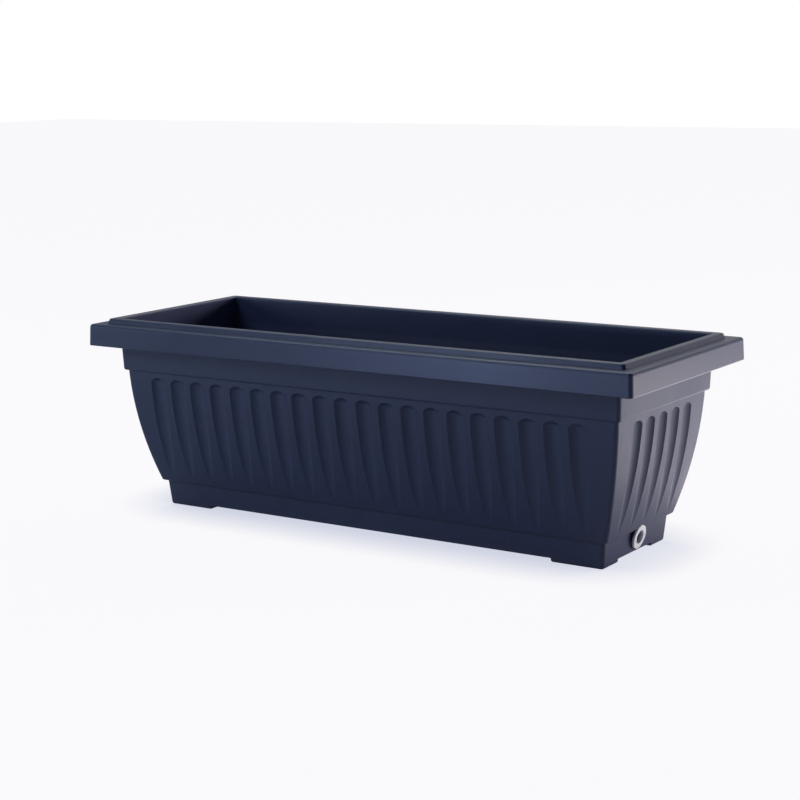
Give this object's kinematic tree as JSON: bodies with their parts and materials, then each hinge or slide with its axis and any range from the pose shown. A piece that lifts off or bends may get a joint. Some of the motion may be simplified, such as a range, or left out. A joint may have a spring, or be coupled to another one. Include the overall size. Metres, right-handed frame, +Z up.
{
  "type": "window box planter",
  "caption": "Long tapered window box planter with fluted walls, an overhanging lipped rim, corner feet, a drain plug in its end and a slotted soil grid inside.",
  "frame": {"origin": "middle of the footprint, on the ground", "axes": "+X along the length towards the end with the drain plug, -Y to the front long side, +Z up out of the mouth"},
  "size_m": [0.6, 0.23, 0.192],
  "materials": {
    "trough_plastic": "fine-grained slate blue polypropylene with a low sheen",
    "plug_plastic": "smooth white polyethylene",
    "grid_plastic": "plain dark polypropylene"
  },
  "bodies": {
    "trough": {"planter_trough": "trough_plastic"},
    "plug": {"drain_plug": "plug_plastic"},
    "grid": {"soil_grid": "grid_plastic"}
  },
  "joints": [
    {"name": "plug_pull", "type": "slide", "parent": "trough", "child": "plug", "axis": [0.9781, 0, -0.2079], "range_m": [0, 0.016]},
    {"name": "grid_lift", "type": "slide", "parent": "trough", "child": "grid", "axis": [0, 0, 1], "range_m": [0, 0.19]}
  ]
}
